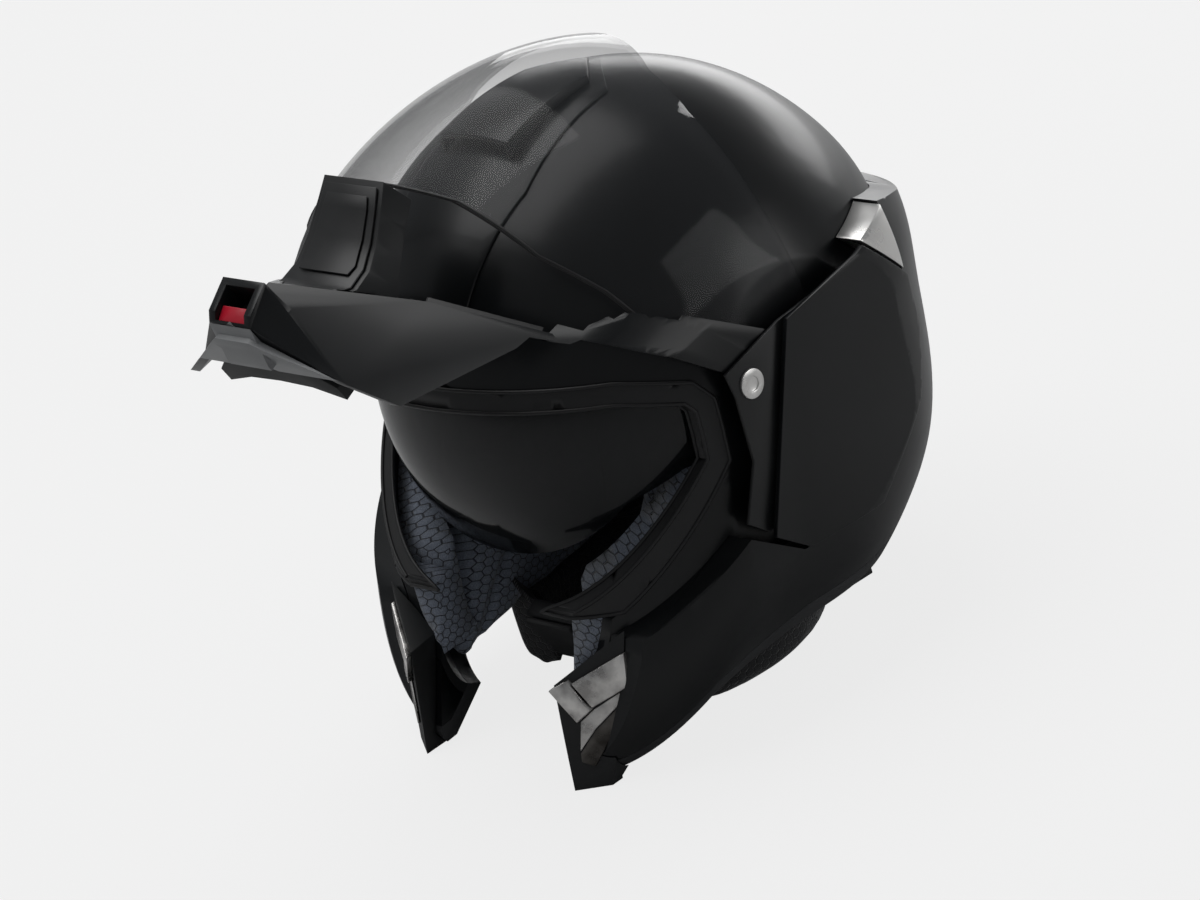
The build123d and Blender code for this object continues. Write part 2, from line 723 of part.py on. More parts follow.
def chin_vent_frame():
    return raised(largest(vent_tongue() - wing_room()))


def chin_vent_cover():
    far = vent_cover_thickness
    levels = [tongue_level(row, 0.0, far) for row in vent_cover_rows_share]
    return raised(largest(loft(levels, ruled=True) - vent_tongue() - wing_room()))


def chin_vent_slider():
    near = vent_cover_thickness + fit_gap
    levels = [tongue_level(row, near, near + vent_slide_thickness) for row in vent_slider_rows_share]
    return raised(loft(levels, ruled=True))


def release_button():
    return raised(side_prism(button_shares, -button_half_width, button_half_width))


def latch_hooks():
    near = chin_wall + fit_gap
    hook = wing_slab(near, near + hook_thickness) & front_prism(hook_shares)
    return raised(both_sides(hook))


# Cheek ends, which the closed chin bar latches on to
cheek_face = chin_wall + latch_gap + latch_plate_thickness


def cheek_block():
    low = plan_face(cheek_low_shares, -hinge_above_share)
    high = plan_face(cheek_high_shares, cheek_top_share)
    return loft([low, high], ruled=True) - front_prism(cheek_slant_shares)


def cheek_blocks():
    return both_sides(Pos(0, fit_gap, fit_gap) * cheek_block())


def shell_room():
    """What the shells and their rim take up at the left cheek, with a gap round it."""
    skin = cover_body(-fit_gap) - crown_body(shell_wall + fit_gap)
    return (skin & beyond(chin_gap_share * crown_radius - fit_gap)) - Pos(0, -fit_gap, 0) * face_prism


def cheek_end():
    cap = cheek_block() - wing_slab(-cut_over, cheek_face) - shell_room()
    return largest(cap - side_prism(cheek_tail_shares))


def latch_plate():
    layer = wing_slab(cheek_face - latch_plate_thickness, cheek_face)
    upper = layer & front_prism(latch_plate_shares)
    ledge = layer & front_prism(latch_ledge_shares)
    return upper + ledge - shell_room()


def latch_shield():
    layer = wing_slab(cheek_face - latch_plate_thickness / 2, cheek_face)
    return (layer & front_prism(latch_shield_shares)) - shell_room()


# Chin strap: a webbing loop under the chin, in a plane that slants forward and down
def strap_frame():
    """The loop's plane, its half width and its drop, measured in that plane."""
    half_share, ahead, above = strap_anchor_share
    low_ahead, low_above = strap_bottom_share
    y, z = side_point(ahead, above)
    low_y, low_z = side_point(low_ahead, low_above)
    drop = sqrt((low_y - y) ** 2 + (low_z - z) ** 2)
    plane = Plane(origin=(0, y, z), x_dir=(1, 0, 0), z_dir=(0, low_z - z, y - low_y))
    return plane, half_share * crown_radius, drop


def strap_band(thickness, width):
    plane, half, drop = strap_frame()
    side = 1 if plane.y_dir.Z > 0 else -1
    rows = ((-1.0, 0.0), (-0.86, 0.45), (-0.5, 0.86), (0.0, 1.0), (0.5, 0.86), (0.86, 0.45), (1.0, 0.0))
    edges = []
    for shift in (-thickness / 2, thickness / 2):
        edges.append([(x * (half + shift), -side * y * (drop + shift)) for x, y in rows])
    inner, outer = edges
    loop = Spline(*inner) + Line(inner[-1], outer[-1]) + Spline(*reversed(outer)) + Line(outer[0], inner[0])
    return extrude(plane * make_face(loop), amount=width / 2, both=True)


def buckle_room(span, height, lift=0.0):
    """A block across the bottom of the strap, between two places across the width."""
    plane, half, drop = strap_frame()
    side = 1 if plane.y_dir.Z > 0 else -1
    low, high = span[0] * crown_radius, span[1] * crown_radius
    centre = Pos((low + high) / 2, -side * (drop + lift), 0)
    return plane * centre * Box(high - low, height, strap_width + 2 * strap_thickness)


def strap_side(low, high):
    """The webbing between two places across the width, clear of the buckle."""
    span = Pos((low + high) / 2, 0, 0) * Box(high - low, 4 * crown_radius, 4 * crown_radius)
    inside = crown_body(shell_wall + liner_thickness + fit_gap)
    return strap_band(strap_thickness, strap_width) & span & inside


def buckle_body():
    return buckle_room(buckle_span_share, buckle_height)


def buckle_lever():
    """The lever under the buckle, with a round knuckle at the end that it turns on."""
    lift = (buckle_height + lever_thickness) / 2 + fit_gap
    plane, half, drop = strap_frame()
    side = 1 if plane.y_dir.Z > 0 else -1
    end = Pos(lever_span_share[0] * crown_radius, -side * (drop + lift), 0)
    knuckle = plane * end * Cylinder(lever_thickness / 2, strap_width + 2 * strap_thickness)
    return buckle_room(lever_span_share, lever_thickness, lift) + knuckle


def strap_rivets():
    half_share, ahead, above = strap_anchor_share
    pin = axle(rivet_radius, half_share * crown_radius, crown_half_width, (ahead, above))
    return both_sides(pin & crown_inside)


if __name__ == "__main__":
    os.makedirs("parts", exist_ok=True)
    pad = cheek_pad()
    base = hinge_base()
    plate = side_plate()
    arm = chin_arm()
    cheek = cheek_end()
    latch = latch_plate()
    shield = latch_shield()
    low_x, high_x = (share * crown_radius for share in buckle_span_share)
    anchor_x = strap_anchor_share[0] * crown_radius
    made = {
        "crown_shell": crown_shell(),
        "lower_shell": lower_shell(),
        "rim_trim": rim_trim(),
        "eye_port_gasket": eye_port_gasket(),
        "vent_surround": vent_surround(),
        "vent_hood": vent_hood(),
        "foam_liner": foam_liner(),
        "crown_liner": crown_liner(),
        "cheek_pad_left": pad,
        "cheek_pad_right": other_side(pad),
        "neck_roll": neck_roll(),
        "visor": visor(),
        "sun_visor": sun_visor(),
        "sun_visor_pins": sun_visor_pins(),
        "sun_slider": sun_slider(),
        "hinge_base_left": base,
        "hinge_base_right": other_side(base),
        "hinge_axles": hinge_axles(),
        "hinge_bolts": hinge_bolts(),
        "base_screws": base_screws(),
        "ring_screws": ring_screws(),
        "side_plate_left": plate,
        "side_plate_right": other_side(plate),
        "pod_accents": pod_accents(),
        "chin_shell": chin_shell(),
        "lower_lip": lower_lip(),
        "chin_core": chin_core(),
        "seal_lip": seal_lip(),
        "chin_arm_left": arm,
        "chin_arm_right": other_side(arm),
        "chin_vent_frame": chin_vent_frame(),
        "chin_vent_cover": chin_vent_cover(),
        "chin_vent_slider": chin_vent_slider(),
        "release_button": release_button(),
        "latch_hooks": latch_hooks(),
        "cheek_end_left": cheek,
        "cheek_end_right": other_side(cheek),
        "latch_plate_left": latch,
        "latch_plate_right": other_side(latch),
        "latch_shield_left": shield,
        "latch_shield_right": other_side(shield),
        "chin_strap_left": strap_side(high_x, anchor_x),
        "chin_strap_right": strap_side(-anchor_x, low_x),
        "buckle_body": buckle_body(),
        "buckle_lever": buckle_lever(),
        "strap_rivets": strap_rivets(),
    }
    for name, shape in made.items():
        export_step(shape, f"parts/{name}.step")
        print(name, len(shape.solids()), round(shape.volume), shape.is_valid)
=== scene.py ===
from math import radians

import bmesh
import bpy
from mathutils import Matrix, Vector


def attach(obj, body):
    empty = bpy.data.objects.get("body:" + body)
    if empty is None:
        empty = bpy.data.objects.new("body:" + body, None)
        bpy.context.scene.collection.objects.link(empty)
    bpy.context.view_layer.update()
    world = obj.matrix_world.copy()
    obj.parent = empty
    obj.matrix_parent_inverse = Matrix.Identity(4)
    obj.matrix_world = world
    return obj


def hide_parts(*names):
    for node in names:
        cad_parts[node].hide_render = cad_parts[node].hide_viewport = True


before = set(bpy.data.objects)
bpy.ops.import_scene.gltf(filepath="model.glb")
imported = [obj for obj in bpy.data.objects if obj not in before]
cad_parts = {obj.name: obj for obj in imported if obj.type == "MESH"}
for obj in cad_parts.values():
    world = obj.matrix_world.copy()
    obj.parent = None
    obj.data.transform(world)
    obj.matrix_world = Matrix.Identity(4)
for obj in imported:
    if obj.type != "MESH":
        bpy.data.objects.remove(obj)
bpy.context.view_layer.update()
scene = bpy.context.scene
scene.view_settings.view_transform = "Standard"

# The camera. It looks at the helmet's middle from the wearer's front left, a little from
# above, through a long lens, and leans as the photographer's camera did.
middle = Vector((0, 0.0254, 0.13))
right = Vector((0.681, 0.676, -0.281)).normalized()
back = Vector((0.725, -0.565, 0.394)).normalized()
up = back.cross(right).normalized()
right = up.cross(back).normalized()
camera_data = bpy.data.cameras.new("camera")
camera_data.lens = 151.8
camera_data.sensor_width = 36
camera_data.shift_x = -0.0173
camera_data.shift_y = -0.069
camera_data.clip_end = 50
camera = bpy.data.objects.new("camera", camera_data)
scene.collection.objects.link(camera)
turn = Matrix((right, up, back)).transposed()
camera.matrix_world = Matrix.Translation(middle + 2.219 * back) @ turn.to_4x4()
scene.camera = camera


# The two painted shells. The crown shell is moulded fibre in gloss black lacquer, and the
# lower shell is a second painted cover over its sides and back, ending in a thin grey rim.
def pick(piece):
    """Makes a piece the only selected and active object."""
    for other in bpy.context.selected_objects:
        other.select_set(False)
    piece.select_set(True)
    bpy.context.view_layer.objects.active = piece


def finish_with(piece, kind, **settings):
    """Adds one modifier to a piece and applies it."""
    modifier = piece.modifiers.new(kind.lower(), kind)
    for key, value in settings.items():
        setattr(modifier, key, value)
    pick(piece)
    bpy.ops.object.modifier_apply(modifier=modifier.name)


same_point = 0.00001
flat_angle = radians(0.4)


def merged_copy(name, node, flatten=False):
    """A copy of a CAD node with its triangles joined, and flat ones made whole faces if asked."""
    piece = bpy.data.objects.new(name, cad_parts[node].data.copy())
    scene.collection.objects.link(piece)
    piece.data.materials.clear()
    pick(piece)
    bpy.ops.object.mode_set(mode="EDIT")
    bpy.ops.mesh.select_all(action="SELECT")
    bpy.ops.mesh.remove_doubles(threshold=same_point)
    if flatten:
        bpy.ops.mesh.dissolve_degenerate(threshold=same_point)
        bpy.ops.mesh.dissolve_limited(angle_limit=flat_angle)
    bpy.ops.object.mode_set(mode="OBJECT")
    return piece


def smooth_copy(node, bevel=0.0, crease=32):
    """A merged and smoothed copy of a CAD node, with its hard edges rounded by bevel."""
    piece = merged_copy(node + "_finish", node, flatten=True)
    if bevel:
        finish_with(piece, "BEVEL", width=bevel, segments=2, limit_method="ANGLE",
                    angle_limit=radians(crease), use_clamp_overlap=True)
    pick(piece)
    bpy.ops.object.shade_smooth_by_angle(angle=radians(crease))
    return piece


def dress(piece, material, body, slot, *nodes):
    """Gives a piece its material and its body, and puts it in the nodes' place; slot is not used."""
    piece.data.materials.clear()
    piece.data.materials.append(material)
    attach(piece, body)
    if nodes:
        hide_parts(*nodes)
    return piece


def grained(name, dark, light, roughness, grain, depth, cloud_scale=22, **fixed):
    """A moulded, painted or metal surface: slow changes of colour and gloss, and a fine grain."""
    material = bpy.data.materials.new(name)
    material.use_nodes = True
    nodes, links = material.node_tree.nodes, material.node_tree.links
    shader = nodes["Principled BSDF"]
    place = nodes.new("ShaderNodeTexCoord")
    cloud = nodes.new("ShaderNodeTexNoise")
    cloud.inputs["Scale"].default_value = cloud_scale
    cloud.inputs["Detail"].default_value = 4
    links.new(place.outputs["Object"], cloud.inputs["Vector"])
    tint = nodes.new("ShaderNodeValToRGB")
    tint.color_ramp.elements[0].position = 0.35
    tint.color_ramp.elements[0].color = (*dark, 1)
    tint.color_ramp.elements[1].position = 0.68
    tint.color_ramp.elements[1].color = (*light, 1)
    links.new(cloud.outputs["Fac"], tint.inputs["Fac"])
    links.new(tint.outputs["Color"], shader.inputs["Base Color"])
    gloss = nodes.new("ShaderNodeMapRange")
    gloss.inputs["From Min"].default_value = 0.3
    gloss.inputs["From Max"].default_value = 0.7
    gloss.inputs["To Min"].default_value = roughness[0]
    gloss.inputs["To Max"].default_value = roughness[1]
    links.new(cloud.outputs["Fac"], gloss.inputs["Value"])
    links.new(gloss.outputs["Result"], shader.inputs["Roughness"])
    fine = nodes.new("ShaderNodeTexNoise")
    fine.inputs["Scale"].default_value = grain
    fine.inputs["Detail"].default_value = 3
    links.new(place.outputs["Object"], fine.inputs["Vector"])
    bump = nodes.new("ShaderNodeBump")
    bump.inputs["Strength"].default_value = 0.5
    bump.inputs["Distance"].default_value = depth
    links.new(fine.outputs["Fac"], bump.inputs["Height"])
    links.new(bump.outputs["Normal"], shader.inputs["Normal"])
    for socket, value in fixed.items():
        shader.inputs[socket.replace("_", " ")].default_value = value
    return material


black_lacquer = grained(
    "black_lacquer", (0.003, 0.0036, 0.0042), (0.005, 0.006, 0.007), (0.3, 0.34), 240, 0.00001,
    Coat_Weight=0.15, Coat_Roughness=0.16, Specular_IOR_Level=0.32,
)
rim_grey = grained(
    "rim_grey", (0.018, 0.019, 0.02), (0.035, 0.036, 0.038), (0.35, 0.5), 900, 0.00006,
)
dress(smooth_copy("crown_shell"), black_lacquer, "shell", "gloss_black", "crown_shell")
dress(smooth_copy("lower_shell"), black_lacquer, "shell", "gloss_black", "lower_shell")
dress(smooth_copy("rim_trim", 0.0006), rim_grey, "shell", "rim_rubber", "rim_trim")


# The eye port's rubber gasket: a moulded black band round the opening, with a round lip
# along each of its edges that the closed visor presses on.
def bead(name, source, keep, radius, sharpness=40):
    """A round bead along those sharp edges of a piece whose middles keep picks."""
    trace = source.copy()
    trace.data = source.data.copy()
    trace.name = name
    trace.parent = None
    scene.collection.objects.link(trace)
    pick(trace)
    bpy.ops.object.mode_set(mode="EDIT")
    bpy.ops.mesh.select_mode(type="EDGE")
    bpy.ops.mesh.select_all(action="DESELECT")
    bpy.ops.mesh.edges_select_sharp(sharpness=radians(sharpness))
    bpy.ops.object.mode_set(mode="OBJECT")
    points = trace.data.vertices
    for edge in trace.data.edges:
        ends = [points[index].co for index in edge.vertices]
        edge.select = edge.select and keep((ends[0] + ends[1]) / 2)
    bpy.ops.object.mode_set(mode="EDIT")
    bpy.ops.mesh.duplicate()
    bpy.ops.mesh.select_all(action="INVERT")
    bpy.ops.mesh.delete(type="VERT")
    bpy.ops.mesh.select_mode(type="VERT")
    bpy.ops.object.mode_set(mode="OBJECT")
    bpy.ops.object.convert(target="CURVE")
    trace.data.bevel_depth = radius
    trace.data.bevel_resolution = 2
    trace.data.use_fill_caps = True
    bpy.ops.object.convert(target="MESH")
    bpy.ops.object.shade_smooth_by_angle(angle=radians(50))
    return trace


gasket_lip_radius = 0.0009
port_rubber = grained(
    "port_rubber", (0.006, 0.006, 0.0065), (0.014, 0.014, 0.015), (0.42, 0.55), 1400, 0.00005,
)
gasket = smooth_copy("eye_port_gasket")
dress(gasket, port_rubber, "shell", "rubber_black", "eye_port_gasket")
gasket_lips = bead("gasket_lips", gasket, lambda spot: True, gasket_lip_radius)
dress(gasket_lips, port_rubber, "shell", "rubber_black")


# The crown's air intake: a flush painted surround and a raised hood that slides on it, with
# a dark mouth ahead.
dress(smooth_copy("vent_surround", 0.0003), black_lacquer, "shell", "gloss_black", "vent_surround")
dress(smooth_copy("vent_hood", 0.0004), black_lacquer, "crown_vent", "gloss_black", "vent_hood")


# The foam liner: moulded grey-black bead foam behind the shells, and the steel pins and
# rivets that are fixed through it.
def bead_foam(name):
    """Moulded bead foam: small cells pressed flat against the mould."""
    material = bpy.data.materials.new(name)
    material.use_nodes = True
    nodes, links = material.node_tree.nodes, material.node_tree.links
    shader = nodes["Principled BSDF"]
    place = nodes.new("ShaderNodeTexCoord")
    cells = nodes.new("ShaderNodeTexVoronoi")
    cells.inputs["Scale"].default_value = 330
    links.new(place.outputs["Object"], cells.inputs["Vector"])
    tint = nodes.new("ShaderNodeValToRGB")
    tint.color_ramp.elements[0].color = (0.03, 0.031, 0.033, 1)
    tint.color_ramp.elements[1].color = (0.012, 0.012, 0.013, 1)
    links.new(cells.outputs["Distance"], tint.inputs["Fac"])
    links.new(tint.outputs["Color"], shader.inputs["Base Color"])
    bump = nodes.new("ShaderNodeBump")
    bump.invert = True
    bump.inputs["Strength"].default_value = 0.6
    bump.inputs["Distance"].default_value = 0.0004
    links.new(cells.outputs["Distance"], bump.inputs["Height"])
    links.new(bump.outputs["Normal"], shader.inputs["Normal"])
    shader.inputs["Roughness"].default_value = 0.85
    return material


dark_foam = bead_foam("dark_foam")
dress(smooth_copy("foam_liner"), dark_foam, "shell", "foam_grey", "foam_liner")
turned_steel = grained(
    "turned_steel", (0.42, 0.43, 0.44), (0.56, 0.57, 0.58), (0.25, 0.38), 700, 0.00003, Metallic=1.0,
)
for node in ("sun_visor_pins", "strap_rivets", "hinge_axles", "hinge_bolts", "base_screws"):
    dress(smooth_copy(node, 0.0003), turned_steel, "shell", "steel", node)


# The lining: knitted fabric over comfort foam. The cheek pads are two cushions with a sewn
# channel, and a flap joins each to the gasket. They, the flaps and the crown's lining have a
# blue-grey knit of hexagons; the neck roll has a plain black one.
def hexagon_knit(name, yarn, groove, size, relief=0.0005):
    """Knitted fabric with hexagons of a given size that run round the cheeks, and a fine stitch."""
    material = bpy.data.materials.new(name)
    material.use_nodes = True
    nodes, links = material.node_tree.nodes, material.node_tree.links
    shader = nodes["Principled BSDF"]

    def vector(operation, first, second):
        node = nodes.new("ShaderNodeVectorMath")
        node.operation = operation
        links.new(first, node.inputs[0])
        node.inputs[1].default_value = second
        return node.outputs["Value" if operation in ("LENGTH", "DOT_PRODUCT") else "Vector"]

    def number(operation, first, second):
        node = nodes.new("ShaderNodeMath")
        node.operation = operation
        links.new(first, node.inputs[0])
        links.new(second, node.inputs[1])
        return node.outputs["Value"]

    place = nodes.new("ShaderNodeTexCoord")
    split = nodes.new("ShaderNodeSeparateXYZ")
    links.new(place.outputs["Object"], split.inputs["Vector"])
    outward = nodes.new("ShaderNodeMath")
    outward.operation = "ABSOLUTE"
    links.new(split.outputs["X"], outward.inputs[0])
    round_cheek = nodes.new("ShaderNodeMath")
    round_cheek.operation = "MULTIPLY_ADD"
    round_cheek.inputs[1].default_value = 0.65
    links.new(outward.outputs["Value"], round_cheek.inputs[0])
    links.new(split.outputs["Y"], round_cheek.inputs[2])
    flat = nodes.new("ShaderNodeCombineXYZ")
    links.new(round_cheek.outputs["Value"], flat.inputs["X"])
    links.new(split.outputs["Z"], flat.inputs["Y"])
    scaled = vector("MULTIPLY", flat.outputs["Vector"], (0.85 / size, 1 / size, 0))
    cell, half_cell = (1, 1.732, 1), (0.5, 0.866, 0)
    above_zero, above_zero_between = (200, 346.4, 0), (200.5, 347.266, 0)
    first = vector("MODULO", vector("ADD", scaled, above_zero), cell)
    first = vector("SUBTRACT", first, half_cell)
    second = vector("MODULO", vector("ADD", scaled, above_zero_between), cell)
    second = vector("SUBTRACT", second, half_cell)
    nearer = number("LESS_THAN", vector("LENGTH", first, (0, 0, 0)), vector("LENGTH", second, (0, 0, 0)))
    choose = nodes.new("ShaderNodeMix")
    choose.data_type = "VECTOR"
    links.new(nearer, choose.inputs["Factor"])
    links.new(second, choose.inputs[4])
    links.new(first, choose.inputs[5])
    folded = vector("ABSOLUTE", choose.outputs[1], (0, 0, 0))
    width = nodes.new("ShaderNodeSeparateXYZ")
    links.new(folded, width.inputs["Vector"])
    edge = number("MAXIMUM", vector("DOT_PRODUCT", folded, (0.5, 0.866, 0)), width.outputs["X"])
    wall = nodes.new("ShaderNodeMapRange")
    wall.interpolation_type = "SMOOTHSTEP"
    wall.inputs["From Min"].default_value = 0.41
    wall.inputs["From Max"].default_value = 0.48
    links.new(edge, wall.inputs["Value"])
    tint = nodes.new("ShaderNodeValToRGB")
    tint.color_ramp.elements[0].color = (*yarn, 1)
    tint.color_ramp.elements[1].color = (*groove, 1)
    links.new(wall.outputs["Result"], tint.inputs["Fac"])
    stitch = nodes.new("ShaderNodeTexVoronoi")
    stitch.inputs["Scale"].default_value = 1500
    links.new(place.outputs["Object"], stitch.inputs["Vector"])
    speck = nodes.new("ShaderNodeMix")
    speck.data_type = "RGBA"
    speck.blend_type = "MULTIPLY"
    speck.inputs["Factor"].default_value = 0.5
    links.new(tint.outputs["Color"], speck.inputs[6])
    links.new(stitch.outputs["Distance"], speck.inputs[7])
    links.new(speck.outputs[2], shader.inputs["Base Color"])
    knit = nodes.new("ShaderNodeBump")
    knit.invert = True
    knit.inputs["Distance"].default_value = 0.0002
    links.new(stitch.outputs["Distance"], knit.inputs["Height"])
    relief_bump = nodes.new("ShaderNodeBump")
    relief_bump.invert = True
    relief_bump.inputs["Distance"].default_value = relief
    links.new(wall.outputs["Result"], relief_bump.inputs["Height"])
    links.new(knit.outputs["Normal"], relief_bump.inputs["Normal"])
    links.new(relief_bump.outputs["Normal"], shader.inputs["Normal"])
    shader.inputs["Roughness"].default_value = 0.9
    shader.inputs["Sheen Weight"].default_value = 0.4
    shader.inputs["Sheen Roughness"].default_value = 0.5
    return material


swell_frames = 12


def cushion(node, cell, swell, room):
    """A cushion made from a soft node: remeshed, blown up as cloth by room at most, and smoothed."""
    piece = merged_copy(node + "_cushion", node)
    finish_with(piece, "REMESH", mode="VOXEL", voxel_size=cell)
    finish_with(piece, "SMOOTH", factor=0.5, iterations=3)
    start = [point.co.copy() for point in piece.data.vertices]
    cloth = piece.modifiers.new("cloth", "CLOTH")
    cloth.settings.use_pressure = True
    cloth.settings.uniform_pressure_force = swell
    cloth.settings.tension_stiffness = 25
    cloth.settings.compression_stiffness = 25
    cloth.settings.effector_weights.gravity = 0
    for step in range(1, swell_frames + 1):
        scene.frame_set(step)
    pick(piece)
    bpy.ops.object.modifier_apply(modifier="cloth")
    scene.frame_set(1)
    for point, rest in zip(piece.data.vertices, start):
        moved = point.co - rest
        if moved.length > room:
            point.co = rest + moved * (room / moved.length)
    finish_with(piece, "SUBSURF", levels=1, render_levels=1)
    pick(piece)
    bpy.ops.object.shade_smooth()
    return piece


def sew_channel(piece, path, half_width, depth):
    """Draws a cushion in along a path of (y, z) points, as a seam does."""
    normals = [point.normal.copy() for point in piece.data.vertices]
    for point, normal in zip(piece.data.vertices, normals):
        spot = Vector((point.co.y, point.co.z))
        nearest = half_width
        for (y0, z0), (y1, z1) in zip(path, path[1:]):
            start, run = Vector((y0, z0)), Vector((y1 - y0, z1 - z0))
            share = min(max((spot - start).dot(run) / run.length_squared, 0), 1)
            nearest = min(nearest, (spot - start - share * run).length)
        if nearest < half_width:
            point.co -= normal * depth * (1 - (nearest / half_width) ** 2) ** 2


lining_back, lining_low, lining_top, lining_inner = -0.014, 0.026, 0.137, 0.036


def port_lining(name, mirror, thickness):
    """The flap of lining that covers the foam between a cheek pad and the eye port's gasket."""
    piece = bpy.data.objects.new(name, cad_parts["foam_liner"].data.copy())
    scene.collection.objects.link(piece)
    piece.data.materials.clear()
    bm = bmesh.new()
    bm.from_mesh(piece.data)
    bmesh.ops.remove_doubles(bm, verts=bm.verts, dist=same_point)
    for place, away in (
        ((0, lining_back, 0), (0, 1, 0)), ((0, 0, lining_low), (0, 0, -1)),
        ((0, 0, lining_top), (0, 0, 1)), ((lining_inner * mirror, 0, 0), (-mirror, 0, 0)),
    ):
        whole = bm.verts[:] + bm.edges[:] + bm.faces[:]
        bmesh.ops.bisect_plane(bm, geom=whole, plane_co=place, plane_no=away, clear_outer=True)
    bm.to_mesh(piece.data)
    bm.free()
    finish_with(piece, "SOLIDIFY", thickness=thickness, offset=1)
    pick(piece)
    bpy.ops.object.shade_smooth_by_angle(angle=radians(50))
    return piece


blue_grey_knit = hexagon_knit("blue_grey_knit", (0.3, 0.34, 0.42), (0.06, 0.068, 0.085), 0.0039)
black_knit = hexagon_knit("black_knit", (0.02, 0.021, 0.023), (0.012, 0.012, 0.013), 0.004, 0.0002)
pad_seam = ((-0.066, 0.026), (-0.047, 0.05), (-0.022, 0.072), (-0.004, 0.098), (0.002, 0.128))
seam_half_width, seam_depth = 0.004, 0.0022
for side in ("left", "right"):
    pad = cushion("cheek_pad_" + side, 0.0028, 3, 0.0012)
    sew_channel(pad, pad_seam, seam_half_width, seam_depth)
    dress(pad, blue_grey_knit, "shell", "lining_fabric", "cheek_pad_" + side)
for side, mirror in (("left", 1), ("right", -1)):
    flap = port_lining("port_lining_" + side, mirror, 0.001)
    dress(flap, blue_grey_knit, "shell", "lining_fabric")
lining = cushion("crown_liner", 0.004, 2, 0.001)
dress(lining, blue_grey_knit, "shell", "lining_fabric", "crown_liner")
roll = cushion("neck_roll", 0.0035, 3, 0.0015)
roll_waist, roll_stretch = 0.018, 0.42
for point in roll.data.vertices:
    point.co.z += max(point.co.z - roll_waist, 0) * roll_stretch
dress(roll, black_knit, "shell", "neck_fabric", "neck_roll")


# The visors. The clear one is a thin moulded sheet with a dark bead along its free edge;
# the smoked one inside it swings on steel pins and is worked by a slider on the left rim.
def tinted_sheet(name, colour, clear, edge, roughness):
    """A see-through moulded sheet, clearer face on than at a glancing angle."""
    material = bpy.data.materials.new(name)
    material.use_nodes = True
    nodes, links = material.node_tree.nodes, material.node_tree.links
    shader = nodes["Principled BSDF"]
    shader.inputs["Base Color"].default_value = (*colour, 1)
    shader.inputs["Specular IOR Level"].default_value = 0.4
    facing = nodes.new("ShaderNodeLayerWeight")
    facing.inputs["Blend"].default_value = 0.35
    density = nodes.new("ShaderNodeMapRange")
    density.inputs["To Min"].default_value = clear
    density.inputs["To Max"].default_value = edge
    links.new(facing.outputs["Facing"], density.inputs["Value"])
    links.new(density.outputs["Result"], shader.inputs["Alpha"])
    place = nodes.new("ShaderNodeTexCoord")
    haze = nodes.new("ShaderNodeTexNoise")
    haze.inputs["Scale"].default_value = 14
    links.new(place.outputs["Object"], haze.inputs["Vector"])
    gloss = nodes.new("ShaderNodeMapRange")
    gloss.inputs["To Min"].default_value = roughness
    gloss.inputs["To Max"].default_value = roughness + 0.05
    links.new(haze.outputs["Fac"], gloss.inputs["Value"])
    links.new(gloss.outputs["Result"], shader.inputs["Roughness"])
    return material


clear_sheet = tinted_sheet("clear_sheet", (0.05, 0.052, 0.055), 0.05, 0.55, 0.03)
smoked_sheet = tinted_sheet("smoked_sheet", (0.008, 0.009, 0.01), 0.86, 0.97, 0.06)
clear_visor = dress(smooth_copy("visor"), clear_sheet, "clear_visor", "clear_visor", "visor")
bead_behind, bead_above, visor_bead_radius = 0.006, 0.1905, 0.0006
visor_bead = bead(
    "visor_edge_bead", clear_visor,
    lambda spot: spot.y < bead_behind and spot.z > bead_above, visor_bead_radius,
)
dress(visor_bead, port_rubber, "clear_visor", "rubber_black")
dress(smooth_copy("sun_visor"), smoked_sheet, "sun_shade", "smoked_visor", "sun_visor")
dull_black = grained(
    "dull_black", (0.008, 0.0085, 0.009), (0.016, 0.017, 0.018), (0.5, 0.65), 1600, 0.00006,
)
dress(smooth_copy("sun_slider", 0.0005), dull_black, "shade_slider", "matte_black", "sun_slider")


# The hinge packs in the side pods: black base plates with a chrome ring screw on the front
# lobe, gloss side plates over them, and a silver triangle behind each.
satin_black = grained(
    "satin_black", (0.007, 0.0075, 0.008), (0.014, 0.0145, 0.015), (0.34, 0.46), 1200, 0.00004,
)
bright_chrome = grained(
    "bright_chrome", (0.78, 0.77, 0.75), (0.9, 0.89, 0.87), (0.24, 0.34), 500, 0.00002, Metallic=0.9,
)
for side in ("left", "right"):
    base, plate = "hinge_base_" + side, "side_plate_" + side
    dress(smooth_copy(base, 0.0003), satin_black, "shell", "satin_black", base)
    dress(smooth_copy(plate, 0.0005), black_lacquer, "shell", "gloss_black", plate)
dress(smooth_copy("ring_screws", 0.0003), bright_chrome, "shell", "silver", "ring_screws")
dress(smooth_copy("pod_accents", 0.0004), bright_chrome, "shell", "silver", "pod_accents")


